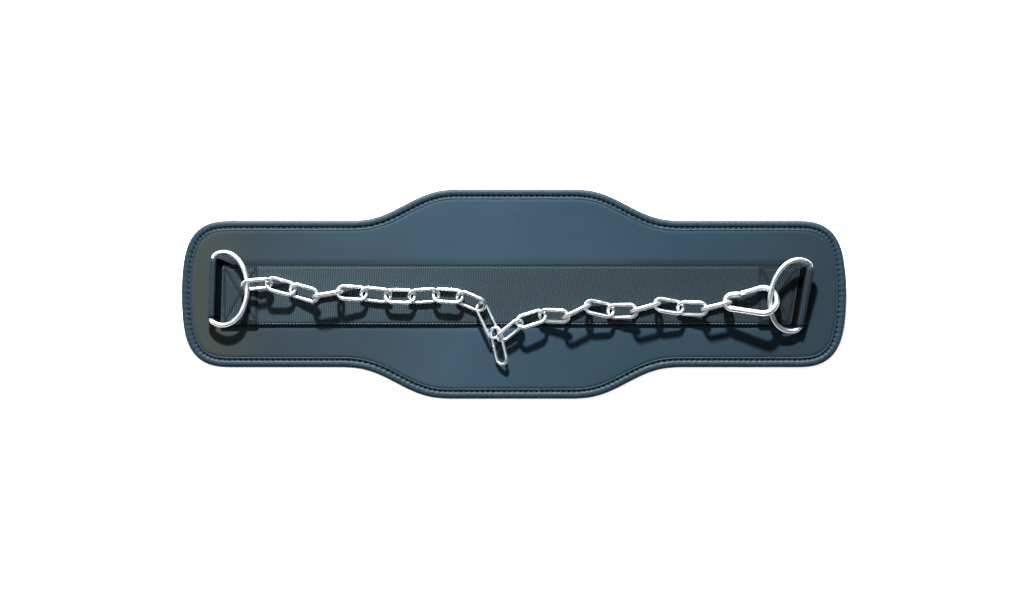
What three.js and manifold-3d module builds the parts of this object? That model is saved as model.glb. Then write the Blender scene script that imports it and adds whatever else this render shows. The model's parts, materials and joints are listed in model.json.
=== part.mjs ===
// Dip belt: a padded waist belt with D-rings, a welded chain and a spring hook, lying on its back.
// Millimetres, +Z up. The origin is on the surface it lies on, under the middle of the belt.
import * as THREE from "three";
import { mergeVertices } from "three/addons/utils/BufferGeometryUtils.js";
import Module from "manifold-3d";

// Belt pad
const BELT_LENGTH = 666;
const LUMBAR_HEIGHT = 210;
const LOBE_HEIGHT = 147;
const PAD_THICKNESS = 8;
const TONGUE_THICKNESS = 4; // the pad's rim, pressed thin inside the binding
const CORNER_RUN = 45; // how far a corner reaches along the belt
const CORNER_DROP = 42; // how far it reaches across the belt
const END_BOW = 2; // the end edge bulges by this much between its corners
const CORNER_PULL = 0.62; // how full the corners are, as a share of their run and drop
const END_PULL = 0.12; // how square they meet the end edge, as a share of their run
const SHOULDER_PULL = 0.4; // how softly a shoulder starts and ends, as a share of its run

// Edge binding
const BAND_WIDTH = 10.5;
const BAND_WALL = 1.6;
const BAND_LIP = 1.5; // thickness of the flat lip inside the stitch line
const BAND_GROOVE = 0.9; // thickness left under the stitch line
const STITCH_INSET = 7.5; // from the outer edge to the stitch line
const STITCH_SLOPE = 1.2; // from the stitch line to the lip's full thickness

// The binding's rolled face: shares of its width inward, and of the pad's half thickness.
const BAND_ROLL = [
  { inward: 0, rise: 0.375 },
  { inward: 0.11, rise: 0.9 },
  { inward: 0.36, rise: 1 },
];

// Webbing
const STRAP_WIDTH = 61;
const STRAP_THICKNESS = 1.8;
const STRAP_OFFSET = -1; // the strap is sewn on this far above the belt's centre line
const STRAP_LEFT_END = -292;
const STRAP_RIGHT_END = 282;
const STRAP_STEP = 3; // the strap comes down from the tab's legs over this length
const TAB_WIDTH = 60;
const TAB_THICKNESS = 1;
const TAB_LEG = 36; // how far a tab's legs run under the strap's end
const TAB_SETTLE = 8; // how far in they reach the strap's own line across the belt
const TAB_LEAD = 1; // the legs lie flat from this far short of the strap's end
const PATCH_MARGIN = 1; // the strap stays lifted this far past the legs' ends
const LOWER_BEND = { along: 0.5, rise: 1 }; // where the lower leg bends up: share of its way in, and height

// The upper leg's fall from the bar to the strap: shares of the way in, and of the height still to fall.
const TAB_FALL = [
  { along: 0.62, above: 0.36 },
  { along: 0.8, above: 0.1 },
];

// D-rings
const RING_WIRE = 5;
const RING_HEIGHT = 72.5; // between the wire's centre lines
const RING_DEPTH = 36;
const RING_CORNER_DEPTH = 11;
const RING_CORNER_HEIGHT = 5.8;

// Chain
const LINK_LENGTH = 32.8;
const LINK_WIDTH = 17.6;
const LINK_WIRE = 3.6;
const LONG_LINK_LENGTH = 40.5;
const LONG_LINK_WIDTH = 14.3;
const LONG_LINK_WIRE = 3;

// Spring hook
const HOOK_WIRE = 6;
const HOOK_NARROW_RADIUS = 7.7; // of the wire's centre line
const HOOK_WIDE_RADIUS = 13.8;
const HOOK_CENTRES = 29.8; // between the centres of the two bends
const NOSE_TURN = 17; // degrees that the nose runs on past the top of the wide bend
const GATE_DIAMETER = 5.4;
const GATE_PIVOT = 6; // from the narrow bend's centre, along the hook
const HEEL_RADIUS = 2.2; // of the gate's tongue, round the rivet
const CHEEK_SLOT = 2.6;
const CHEEK_REACH = 2.4; // how far the hook's arm runs past the rivet
const RIVET_DIAMETER = 1.8;
const RIVET_HEAD = 0.4;
const RIVET_HEAD_SHARE = 1.7; // the head's diameter over the shank's
const TONGUE_LAP = 1; // how far the gate's tongue runs into its rod

// Gaps between pieces that touch, and between a pin and its hole
const GAP = 0.3;
const PIN_GAP = 0.2;

// How finely the pieces are cut: facets round a wire or pin, and steps along each bend
const FACETS = { ring: 10, link: 6, hook: 10, gate: 10, heel: 14, pin: 12 };
const BEND_STEPS = { outline: 8, ring: 6, link: 3, hook: 7 };
const TAB_STEP = 30; // degrees round the bar
const SAME_POINT = 1e-6;
const SAME_CORNER = 1e-4;

// Heights of the layers
const STRAP_BASE = PAD_THICKNESS + GAP;
const STRAP_TOP = STRAP_BASE + STRAP_THICKNESS;
const TAB_BASE = PAD_THICKNESS + GAP;
const PATCH_BASE = TAB_BASE + 2 * TAB_THICKNESS + 2 * GAP;

// The four shoulders between the tall middle and the lower lobes, anticlockwise from the upper right.
// side is the half of the belt; from and to are shares of half the belt's length.
const SHOULDERS = [
  { side: 1, from: 0.192, to: 0.487 },
  { side: -1, from: 0.183, to: 0.477 },
  { side: -1, from: 0.207, to: 0.502 },
  { side: 1, from: 0.192, to: 0.487 },
];

// How each D-ring lies, from the middle of its bar. barLift is the bar's height above the pad, and arc
// says which way the arc points along X. turn is about Z, roll lifts the bar's upper end and tilt lifts
// the arc, in degrees. The strap's end is cut to the same turn.
const RINGS = {
  left: { x: -300.9, y: 5.6, barLift: 6.4, arc: 1, turn: -2, roll: 0, tilt: 10.2 },
  right: { x: 290.2, y: -3, barLift: 8.7, arc: -1, turn: -9.3, roll: 8, tilt: 11.2 },
};

// The chain's route, as it is laid on the belt. Each row is the joint where a link begins, and how that
// link rolls about its length; lift is the joint's height above the strap. The last row of a run is
// where it ends. hanging holds the two long links by the ends of their centre lines.
const CHAIN_ROUTE = {
  left: [
    { x: -268.1, y: 8.6, lift: 10.6, roll: 52 },
    { x: -244.0, y: 10.9, lift: 9.3, roll: -29 },
    { x: -220.6, y: 4.4, lift: 5.5, roll: 27 },
    { x: -197.6, y: -2.1, lift: 9.1, roll: 84 },
    { x: -173, y: 1.8, lift: 9.1, roll: -27 },
    { x: -149.8, y: 0.4, lift: 5.3, roll: 27 },
    { x: -125.8, y: -2.0, lift: 5.3, roll: -27 },
    { x: -101.8, y: -2.6, lift: 5.3, roll: 27 },
    { x: -77.7, y: -1.0, lift: 5.4, roll: -28 },
    { x: -53.9, y: -2.6, lift: 5.5, roll: 28 },
    { x: -32.0, y: -12.0, lift: 5.4, roll: 0 },
  ],
  right: [
    { x: -13.4, y: -44.1, lift: 5.4, roll: 50 },
    { x: 5.6, y: -28.5, lift: 7.6, roll: -31 },
    { x: 28.5, y: -21.3, lift: 6.0, roll: 34 },
    { x: 51.6, y: -22.3, lift: 9.1, roll: 84 },
    { x: 73.4, y: -11.9, lift: 9.1, roll: -28 },
    { x: 96.8, y: -17.2, lift: 5.2, roll: 27 },
    { x: 119.2, y: -16.8, lift: 9.1, roll: 82 },
    { x: 142.9, y: -10.2, lift: 9.1, roll: -31 },
    { x: 165.7, y: -14.0, lift: 5.3, roll: 29 },
    { x: 189.7, y: -14.8, lift: 9.0, roll: 82 },
    { x: 213.6, y: -8.9, lift: 9.3, roll: 0 },
  ],
  hanging: [
    {
      name: "long_link_upper",
      from: { x: -33.8, y: -10.6, lift: 4.0 },
      to: { x: -18.7, y: -42.9, lift: 3.7 },
      roll: -22,
    },
    {
      name: "long_link_hanging",
      from: { x: -19.5, y: -33, lift: 4.8 },
      to: { x: -11.1, y: -70.4, lift: 2.8 },
      roll: 28,
    },
  ],
};

// How the spring hook lies: the centre of its narrow bend, its height above the strap, and its turns
// in degrees. A negative roll lays the gate side down.
const HOOK_PLACE = { x: 218, y: -7.8, lift: 9.4, turn: 2.5, rise: 3.7, roll: -24 };

const wasm = await Module();
wasm.setup();

const radians = THREE.MathUtils.degToRad;
const up = new THREE.Vector3(0, 0, 1);

const neoprene = new THREE.MeshStandardMaterial({ color: 0x44566a, roughness: 0.9, metalness: 0 });
const leatherette = new THREE.MeshStandardMaterial({ color: 0x4b5a66, roughness: 0.55, metalness: 0 });
const webbing = new THREE.MeshStandardMaterial({ color: 0x3c4a57, roughness: 0.85, metalness: 0 });
const zincPlate = new THREE.MeshStandardMaterial({ color: 0xdfe3e6, roughness: 0.22, metalness: 1 });

const belt = new THREE.Group();

function piece(name, geometry, material, parent = belt) {
  const mesh = new THREE.Mesh(geometry, material);
  mesh.name = name;
  parent.add(mesh);
  return mesh;
}

// The triangles of a flat ring of points, wound as the ring is.
function capFaces(ring) {
  const normal = new THREE.Vector3();
  for (let i = 1; i < ring.length - 1; i += 1) {
    normal.add(ring[i].clone().sub(ring[0]).cross(ring[i + 1].clone().sub(ring[0])));
  }
  const flatten = new THREE.Quaternion().setFromUnitVectors(normal.normalize(), up);
  const flat = ring.map((point) => point.clone().applyQuaternion(flatten));
  return THREE.ShapeUtils.triangulateShape(flat.map((point) => new THREE.Vector2(point.x, point.y)), []);
}

// A surface through rings of points, each wound anticlockwise about the way that the rings run.
// A closed surface comes back to its first ring; an open one has a flat cap at each end.
function loft(rings, closed) {
  const size = rings[0].length;
  const positions = rings.flat().flatMap((point) => [point.x, point.y, point.z]);
  const faces = [];
  const bands = closed ? rings.length : rings.length - 1;
  for (let band = 0; band < bands; band += 1) {
    const here = band * size;
    const next = ((band + 1) % rings.length) * size;
    for (let i = 0; i < size; i += 1) {
      const j = (i + 1) % size;
      faces.push(here + i, here + j, next + j);
      faces.push(here + i, next + j, next + i);
    }
  }
  if (!closed) {
    const last = (rings.length - 1) * size;
    for (const [a, b, c] of capFaces(rings[0])) faces.push(c, b, a);
    for (const [a, b, c] of capFaces(rings.at(-1))) faces.push(last + a, last + b, last + c);
  }
  const geometry = new THREE.BufferGeometry();
  geometry.setAttribute("position", new THREE.Float32BufferAttribute(positions, 3));
  geometry.setIndex(faces);
  return geometry;
}

// The points of a path, without the doubles where its pieces meet.
function pathPoints(path, divisions, closed) {
  const apart = (a, b) => a.distanceTo(b) > SAME_POINT;
  const points = path.getPoints(divisions).filter((p, i, all) => i === 0 || apart(p, all[i - 1]));
  if (closed && !apart(points[0], points.at(-1))) points.pop();
  return points;
}

// At each point of a path, the unit direction to its left, and how much longer an offset that way is
// so that the offset path stays parallel to both of its neighbours.
function pathSides(points, closed) {
  return points.map((point, i) => {
    const before = points[i - 1] ?? (closed ? points.at(-1) : null);
    const after = points[i + 1] ?? (closed ? points[0] : null);
    const out = (after ? after.clone().sub(point) : point.clone().sub(before)).normalize();
    const into = before ? point.clone().sub(before).normalize() : out.clone();
    const along = into.clone().add(out).normalize();
    const mitre = 1 / along.dot(into);
    return new THREE.Vector2(-along.y * mitre, along.x * mitre);
  });
}

// A round wire bent along a path in the XY plane.
function bentWire(path, divisions, diameter, sides, closed) {
  const points = pathPoints(path, divisions, closed);
  const toLeft = pathSides(points, closed);
  const rings = points.map((point, i) =>
    Array.from({ length: sides }, (_, k) => {
      const angle = (2 * Math.PI * (k + 0.5)) / sides;
      const across = (diameter / 2) * Math.cos(angle);
      const height = (diameter / 2) * Math.sin(angle);
      return new THREE.Vector3(point.x + toLeft[i].x * across, point.y + toLeft[i].y * across, height);
    }),
  );
  return loft(rings, closed);
}

// The outline of a band of even thickness along a line of points, anticlockwise.
function bandSides(points, thickness) {
  const toLeft = pathSides(points, false);
  const offset = (share) => points.map((p, i) => p.clone().addScaledVector(toLeft[i], share * thickness));
  return [...offset(-0.5), ...offset(0.5).reverse()];
}

// A geometry as a solid for joining and cutting, and back.
function solidOf(geometry) {
  const bare = geometry.clone().deleteAttribute("normal").deleteAttribute("uv");
  const merged = mergeVertices(bare, SAME_CORNER);
  return new wasm.Manifold(
    new wasm.Mesh({
      numProp: 3,
      vertProperties: merged.attributes.position.array,
      triVerts: new Uint32Array(merged.index.array),
    }),
  );
}

function geometryOf(solid) {
  const mesh = solid.getMesh();
  const geometry = new THREE.BufferGeometry();
  geometry.setAttribute("position", new THREE.BufferAttribute(mesh.vertProperties, 3));
  geometry.setIndex(new THREE.BufferAttribute(mesh.triVerts, 1));
  return geometry;
}

// The belt's outline, anticlockwise from above: lobes with round corners and slightly bowed ends,
// and a smooth shoulder from each lobe up to the taller middle.
function beltOutline() {
  const half = BELT_LENGTH / 2;
  const tall = LUMBAR_HEIGHT / 2;
  const low = LOBE_HEIGHT / 2;
  const cornerX = half - CORNER_RUN;
  const cornerY = low - CORNER_DROP;
  const endX = half - END_BOW;
  const [upperRight, upperLeft, lowerLeft, lowerRight] = SHOULDERS.map(({ side, from, to }) => ({
    high: side * from * half,
    low: side * to * half,
  }));
  const path = new THREE.Path();
  const slope = (fromX, fromY, toX, toY) => {
    const handle = SHOULDER_PULL * (toX - fromX);
    path.bezierCurveTo(fromX + handle, fromY, toX - handle, toY, toX, toY);
  };
  const handleX = CORNER_PULL * CORNER_RUN;
  const handleY = CORNER_PULL * CORNER_DROP;
  const endHandle = END_PULL * CORNER_RUN;
  path.moveTo(endX, -cornerY);
  path.quadraticCurveTo(half + END_BOW, 0, endX, cornerY);
  path.bezierCurveTo(half - endHandle, cornerY + handleY, cornerX + handleX, low, cornerX, low);
  path.lineTo(upperRight.low, low);
  slope(upperRight.low, low, upperRight.high, tall);
  path.lineTo(upperLeft.high, tall);
  slope(upperLeft.high, tall, upperLeft.low, low);
  path.lineTo(-cornerX, low);
  path.bezierCurveTo(-cornerX - handleX, low, endHandle - half, cornerY + handleY, -endX, cornerY);
  path.quadraticCurveTo(-half - END_BOW, 0, -endX, -cornerY);
  path.bezierCurveTo(endHandle - half, -cornerY - handleY, -cornerX - handleX, -low, -cornerX, -low);
  path.lineTo(lowerLeft.low, -low);
  slope(lowerLeft.low, -low, lowerLeft.high, -tall);
  path.lineTo(lowerRight.high, -tall);
  slope(lowerRight.high, -tall, lowerRight.low, -low);
  path.lineTo(cornerX, -low);
  path.bezierCurveTo(cornerX + handleX, -low, half - endHandle, -cornerY - handleY, endX, -cornerY);
  return path;
}

const outline = pathPoints(beltOutline(), BEND_STEPS.outline, true);
const outlineSides = pathSides(outline, true);

// The outline moved inward by a distance, at a height.
function rimRing(distance, z) {
  return outline.map((point, i) => {
    const moved = point.clone().addScaledVector(outlineSides[i], distance);
    return new THREE.Vector3(moved.x, moved.y, z);
  });
}

// The pad: full thickness up to the binding's lip, and a thinner tongue that the binding folds round.
const middle = PAD_THICKNESS / 2;
const tongueLow = middle - TONGUE_THICKNESS / 2;
const tongueHigh = middle + TONGUE_THICKNESS / 2;
const padEdge = BAND_WIDTH + GAP;
const tongueEdge = BAND_WALL + GAP;
const padRings = [
  rimRing(padEdge, 0),
  rimRing(padEdge, tongueLow),
  rimRing(tongueEdge, tongueLow),
  rimRing(tongueEdge, tongueHigh),
  rimRing(padEdge, tongueHigh),
  rimRing(padEdge, PAD_THICKNESS),
];
piece("belt_pad", loft(padRings, false), neoprene);

// The binding's section, half of it, from the outer edge over the rolled face to the lip: the distance
// from the outer edge, and the height above the pad's middle. The other half mirrors it.
const bandSeat = TONGUE_THICKNESS / 2 + GAP;
const bandSection = [
  ...BAND_ROLL.map(({ inward, rise }) => [inward * BAND_WIDTH, rise * middle]),
  [STITCH_INSET, bandSeat + BAND_GROOVE],
  [STITCH_INSET + STITCH_SLOPE, bandSeat + BAND_LIP],
  [BAND_WIDTH, bandSeat + BAND_LIP],
  [BAND_WIDTH, bandSeat],
  [BAND_WALL, bandSeat],
];
const bandRings = [
  ...bandSection.map(([distance, rise]) => rimRing(distance, middle + rise)),
  ...bandSection.toReversed().map(([distance, rise]) => rimRing(distance, middle - rise)),
];
piece("edge_binding", loft(bandRings, true), leatherette);

// The strap: flat along the belt, and lifted at both ends by the tabs' legs under it.
const strapMid = STRAP_BASE + STRAP_THICKNESS / 2;
const patchMid = PATCH_BASE + STRAP_THICKNESS / 2;
const patchRun = TAB_LEG + PATCH_MARGIN;
const strapLine = [
  [STRAP_LEFT_END, patchMid],
  [STRAP_LEFT_END + patchRun, patchMid],
  [STRAP_LEFT_END + patchRun + STRAP_STEP, strapMid],
  [STRAP_RIGHT_END - patchRun - STRAP_STEP, strapMid],
  [STRAP_RIGHT_END - patchRun, patchMid],
  [STRAP_RIGHT_END, patchMid],
].map(([x, z]) => new THREE.Vector2(x, z));
const strapSection = new THREE.Shape(bandSides(strapLine, STRAP_THICKNESS));
const strap = new THREE.ExtrudeGeometry(strapSection, { depth: STRAP_WIDTH, bevelEnabled: false });
strap.rotateX(Math.PI / 2).translate(0, STRAP_WIDTH / 2, 0);

const corners = strap.attributes.position;
for (let i = 0; i < corners.count; i += 1) {
  const x = corners.getX(i);
  const y = corners.getY(i);
  if (x < STRAP_LEFT_END + TAB_LEG) corners.setX(i, x - y * Math.tan(radians(RINGS.left.turn)));
  if (x > STRAP_RIGHT_END - TAB_LEG) corners.setX(i, x - y * Math.tan(radians(RINGS.right.turn)));
}
piece("webbing_strap", strap.translate(0, STRAP_OFFSET, 0), webbing);

// A closed wire: the straight bar, a tight corner at each end of it, and the arc.
function ringPath() {
  const half = RING_HEIGHT / 2;
  const bar = half - RING_CORNER_HEIGHT;
  const cornerDepth = RING_CORNER_DEPTH;
  const arcDepth = RING_DEPTH - RING_CORNER_DEPTH;
  const path = new THREE.Path();
  path.moveTo(0, -bar);
  path.lineTo(0, bar);
  path.absellipse(cornerDepth, bar, cornerDepth, RING_CORNER_HEIGHT, Math.PI, Math.PI / 2, true);
  path.absellipse(cornerDepth, 0, arcDepth, half, Math.PI / 2, 0, true);
  path.absellipse(cornerDepth, 0, arcDepth, half, 0, -Math.PI / 2, true);
  path.absellipse(cornerDepth, -bar, cornerDepth, RING_CORNER_HEIGHT, -Math.PI / 2, -Math.PI, true);
  return path;
}

// The tab's middle line in the side view, for a bar at this height above the pad: distance from the bar
// towards the belt's middle, and height above the pad. It runs in along the lower leg, turns round the
// bar, and comes steeply down to the upper leg.
function tabLine(barHeight, legsFrom, legsEnd) {
  const turnRadius = RING_WIRE / 2 + GAP + TAB_THICKNESS / 2;
  const lowLeg = GAP + TAB_THICKNESS / 2;
  const highLeg = lowLeg + TAB_THICKNESS + GAP;
  const line = [
    [legsEnd, lowLeg],
    [legsFrom, lowLeg],
    [LOWER_BEND.along * legsFrom, Math.min(barHeight - turnRadius, lowLeg + LOWER_BEND.rise)],
  ];
  for (let degrees = 270; degrees >= TAB_STEP; degrees -= TAB_STEP) {
    const angle = radians(degrees);
    line.push([turnRadius * Math.cos(angle), barHeight + turnRadius * Math.sin(angle)]);
  }
  const drop = barHeight + turnRadius / 2 - highLeg;
  for (const { along, above } of TAB_FALL) line.push([along * legsFrom, highLeg + above * drop]);
  line.push([legsFrom, highLeg], [legsEnd, highLeg]);
  return line.map(([x, z]) => new THREE.Vector2(x, z));
}

// The tab as sections across its width. At each one the loop follows the bar, and the legs lie flat
// under the strap's end.
function tabGeometry(place, strapEnd) {
  const { x, y, barLift, arc, turn, roll } = place;
  const bar = new THREE.Vector3(0, 1, 0).applyEuler(new THREE.Euler(radians(roll), 0, radians(turn), "ZXY"));
  const legsFrom = Math.abs(x - strapEnd) - TAB_LEAD;
  const stations = [0.5, 0.25, 0, -0.25, -0.5].map((share) => arc * share * TAB_WIDTH);
  const rings = stations.map((across) => {
    const barX = x + (across * bar.x) / bar.y;
    const barHeight = barLift + (across * bar.z) / bar.y;
    const legsEnd = Math.abs(barX - strapEnd) + TAB_LEG;
    return bandSides(tabLine(barHeight, legsFrom, legsEnd), TAB_THICKNESS).map((point) => {
      const seat = THREE.MathUtils.smoothstep(point.x, RING_WIRE, legsFrom + TAB_SETTLE);
      const shift = THREE.MathUtils.lerp(y, STRAP_OFFSET, seat);
      return new THREE.Vector3(barX + arc * point.x, shift + across, PAD_THICKNESS + point.y);
    });
  });
  return loft(rings, false);
}

for (const [side, place] of Object.entries(RINGS)) {
  const ringWire = bentWire(ringPath(), BEND_STEPS.ring, RING_WIRE, FACETS.ring, true);
  const ring = piece(`d_ring_${side}`, ringWire, zincPlate);
  ring.position.set(place.x, place.y, PAD_THICKNESS + place.barLift);
  const facing = place.arc > 0 ? 0 : 180;
  const roll = radians(place.arc * place.roll);
  ring.rotation.set(roll, radians(-place.tilt), radians(facing + place.turn), "ZXY");
  const strapEnd = place.arc > 0 ? STRAP_LEFT_END : STRAP_RIGHT_END;
  piece(`ring_tab_${side}`, tabGeometry(place, strapEnd), webbing);
}

// Chain links: a round wire bent into two straight sides and two half-round crowns.
function linkGeometry(length, width, wire) {
  const radius = (width - wire) / 2;
  const reach = (length - wire) / 2 - radius;
  const path = new THREE.Path();
  path.moveTo(-reach, -radius);
  path.lineTo(reach, -radius);
  path.absarc(reach, 0, radius, -Math.PI / 2, Math.PI / 2, false);
  path.lineTo(-reach, radius);
  path.absarc(-reach, 0, radius, Math.PI / 2, (3 * Math.PI) / 2, false);
  return bentWire(path, BEND_STEPS.link, wire, FACETS.link, true);
}

function layLink(name, geometry, from, to, roll) {
  const mesh = piece(name, geometry, zincPlate);
  const run = Math.hypot(to.x - from.x, to.y - from.y);
  mesh.position.set((from.x + to.x) / 2, (from.y + to.y) / 2, STRAP_TOP + (from.lift + to.lift) / 2);
  mesh.rotation.set(
    radians(roll),
    -Math.atan2(to.lift - from.lift, run),
    Math.atan2(to.y - from.y, to.x - from.x),
    "ZYX",
  );
}

const link = linkGeometry(LINK_LENGTH, LINK_WIDTH, LINK_WIRE);
const longLink = linkGeometry(LONG_LINK_LENGTH, LONG_LINK_WIDTH, LONG_LINK_WIRE);
let linkNumber = 0;
for (const run of [CHAIN_ROUTE.left, CHAIN_ROUTE.right]) {
  for (let i = 0; i < run.length - 1; i += 1) {
    linkNumber += 1;
    const name = `chain_link_${String(linkNumber).padStart(2, "0")}`;
    layLink(name, link, run[i], run[i + 1], run[i].roll);
  }
}
for (const { name, from, to, roll } of CHAIN_ROUTE.hanging) layLink(name, longLink, from, to, roll);

// The spring hook lies in its own XY plane: the narrow bend round the origin, the wide bend along +X,
// the spine on the lower side and the gate on the upper side.
const hook = new THREE.Group();
hook.position.set(HOOK_PLACE.x, HOOK_PLACE.y, STRAP_TOP + HOOK_PLACE.lift);
hook.rotation.set(radians(HOOK_PLACE.roll), radians(-HOOK_PLACE.rise), radians(HOOK_PLACE.turn), "ZYX");
belt.add(hook);

const taper = Math.asin((HOOK_WIDE_RADIUS - HOOK_NARROW_RADIUS) / HOOK_CENTRES);
const pivot = new THREE.Vector2(GATE_PIVOT, HOOK_NARROW_RADIUS);
const noseAngle = Math.PI / 2 + radians(NOSE_TURN);
const noseTip = new THREE.Vector2(
  HOOK_CENTRES + HOOK_WIDE_RADIUS * Math.cos(noseAngle),
  HOOK_WIDE_RADIUS * Math.sin(noseAngle),
);
const gateAngle = Math.atan2(noseTip.y - pivot.y, noseTip.x - pivot.x);
const gateReach = noseTip.distanceTo(pivot);

function hookPath() {
  const path = new THREE.Path();
  path.moveTo(pivot.x + CHEEK_REACH, pivot.y);
  path.lineTo(0, HOOK_NARROW_RADIUS);
  path.absarc(0, 0, HOOK_NARROW_RADIUS, Math.PI / 2, (3 * Math.PI) / 2 - taper, false);
  path.absarc(HOOK_CENTRES, 0, HOOK_WIDE_RADIUS, -Math.PI / 2 - taper, 0, false);
  path.absarc(HOOK_CENTRES, 0, HOOK_WIDE_RADIUS, 0, noseAngle, false);
  return path;
}

// A round pin through the hook's plane at the pivot.
function pivotPin(diameter, length) {
  const pin = new THREE.CylinderGeometry(diameter / 2, diameter / 2, length, FACETS.pin);
  return pin.rotateX(Math.PI / 2).translate(pivot.x, pivot.y, 0);
}

const slotRun = CHEEK_REACH + HEEL_RADIUS + 2 * GAP;
const slot = new THREE.BoxGeometry(slotRun + HOOK_WIRE, 2 * HOOK_WIRE, CHEEK_SLOT);
slot.translate(pivot.x - HEEL_RADIUS - 2 * GAP + (slotRun + HOOK_WIRE) / 2, pivot.y, 0);
const hookWire = solidOf(bentWire(hookPath(), BEND_STEPS.hook, HOOK_WIRE, FACETS.hook, false));
const holeDiameter = RIVET_DIAMETER + 2 * PIN_GAP;
const holeLength = 2 * HOOK_WIRE;
const hookBody = hookWire.subtract(solidOf(slot)).subtract(solidOf(pivotPin(holeDiameter, holeLength)));
piece("carabiner_body", geometryOf(hookBody), zincPlate, hook);

// The gate: a round rod from past the cheeks to the nose, with a flat tongue that turns on the rivet.
const tongueThickness = CHEEK_SLOT - 2 * GAP;
const rodStart = HOOK_WIRE / 2 + CHEEK_REACH;
const rodEnd = gateReach - GAP;
const rod = new THREE.CylinderGeometry(GATE_DIAMETER / 2, GATE_DIAMETER / 2, rodEnd - rodStart, FACETS.gate);
rod.rotateZ(-Math.PI / 2).translate((rodStart + rodEnd) / 2, 0, 0);
const heel = new THREE.CylinderGeometry(HEEL_RADIUS, HEEL_RADIUS, tongueThickness, FACETS.heel);
heel.rotateX(Math.PI / 2);
const tongueRun = rodStart + TONGUE_LAP;
const tongue = new THREE.BoxGeometry(tongueRun, 2 * HEEL_RADIUS, tongueThickness);
tongue.translate(tongueRun / 2, 0, 0);
const gateBlank = solidOf(rod).add(solidOf(heel)).add(solidOf(tongue));
const gateHole = new THREE.CylinderGeometry(holeDiameter / 2, holeDiameter / 2, holeLength, FACETS.pin);
const gate = geometryOf(gateBlank.subtract(solidOf(gateHole.rotateX(Math.PI / 2))));
gate.rotateZ(gateAngle).translate(pivot.x, pivot.y, 0);
piece("carabiner_gate", gate, zincPlate, hook);

const rivetShank = solidOf(pivotPin(RIVET_DIAMETER, HOOK_WIRE + 2 * PIN_GAP + 2 * RIVET_HEAD));
const rivetHeads = [1, -1].map((face) => {
  const height = face * (HOOK_WIRE / 2 + PIN_GAP + RIVET_HEAD / 2);
  return solidOf(pivotPin(RIVET_DIAMETER * RIVET_HEAD_SHARE, RIVET_HEAD).translate(0, 0, height));
});
piece("carabiner_rivet", geometryOf(rivetShank.add(rivetHeads[0]).add(rivetHeads[1])), zincPlate, hook);

export default belt;
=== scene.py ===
# %% [markdown]
# # A dip belt, lying on its back
# A dip belt is worn round the waist in the gym: a weight hangs from its chain while the wearer dips or
# pulls up. It is a sandwich of neoprene foam, bound with tape and crossed by sewn webbing, with bright
# steel at both ends. The solid parts come from the CAD frame; each one gets its real surface here.

import json
import math
import random

import bmesh
import bpy
import numpy
from mathutils import Matrix, Vector, kdtree, noise


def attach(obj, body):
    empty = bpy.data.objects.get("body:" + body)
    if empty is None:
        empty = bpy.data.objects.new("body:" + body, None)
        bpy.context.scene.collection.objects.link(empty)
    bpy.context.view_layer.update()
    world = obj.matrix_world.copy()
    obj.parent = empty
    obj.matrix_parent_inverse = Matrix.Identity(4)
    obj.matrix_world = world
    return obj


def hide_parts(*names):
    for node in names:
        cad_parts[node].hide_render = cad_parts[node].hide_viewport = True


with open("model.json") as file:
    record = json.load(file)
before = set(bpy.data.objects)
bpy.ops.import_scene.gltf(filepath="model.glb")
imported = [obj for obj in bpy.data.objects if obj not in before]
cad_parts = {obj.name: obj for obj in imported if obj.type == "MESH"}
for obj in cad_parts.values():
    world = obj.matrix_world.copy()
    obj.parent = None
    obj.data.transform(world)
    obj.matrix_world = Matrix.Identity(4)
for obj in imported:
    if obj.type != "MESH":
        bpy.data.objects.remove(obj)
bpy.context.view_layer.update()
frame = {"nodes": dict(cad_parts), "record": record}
nodes = frame["nodes"]
MM = 0.001
print("CAD nodes:", len(nodes))

# %% [markdown]
# ## Small tools
# Colours are written as the eye reads them, in sRGB, and turned to the linear values that shading
# needs. One function adds any shader node with its settings and links.


# %% Colours and nodes
def linear(hex_colour):
    """A six-digit sRGB colour as linear red, green, blue and alpha."""
    shares = [int(hex_colour[i : i + 2], 16) / 255 for i in (0, 2, 4)]
    return (*(s / 12.92 if s <= 0.04045 else ((s + 0.055) / 1.055) ** 2.4 for s in shares), 1.0)


def add_node(material, kind, inputs=None, **settings):
    """Adds a shader node. inputs are values, or outputs of other nodes to link from."""
    node = material.node_tree.nodes.new(kind)
    for name, value in settings.items():
        setattr(node, name, value)
    for socket, value in (inputs or {}).items():
        if isinstance(value, bpy.types.NodeSocket):
            material.node_tree.links.new(value, node.inputs[socket])
        else:
            node.inputs[socket].default_value = value
    return node


def mixed(material, share, first, second):
    """A share between two colours, which are values or outputs of other nodes."""
    colours = {"Factor": share, 6: first, 7: second}
    return add_node(material, "ShaderNodeMix", colours, data_type="RGBA").outputs[2]


def new_material(name):
    """A new material without any nodes."""
    material = bpy.data.materials.new(name)
    material.use_nodes = True
    material.node_tree.nodes.clear()
    return material


def finish_material(material, surface):
    """Gives a material its shader, with these inputs, and links that to the output."""
    shader = add_node(material, "ShaderNodeBsdfPrincipled", surface)
    add_node(material, "ShaderNodeOutputMaterial", {"Surface": shader.outputs[0]})
    return material


# %% [markdown]
# ## Neoprene
# The pad is foam rubber laminated with a thin knitted jersey. The jersey makes it matt, with a soft
# bright edge where the fibres catch the light, and the slate dye is a little uneven. Along the belt the
# colour also runs from a lighter, greener left end to a darker right end: a painted falloff of light.
# The knit's loops are about 0.6 mm, too fine for the picture, so they are drawn at 1.1 mm.

# %% Neoprene material
JERSEY_LOOP = 1.1
DYE_DRIFT = 0.3
PAD_FALLOFF_RUN = (-0.18, 0.48)  # where the first and the last colour are reached along the belt, in metres
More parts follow.
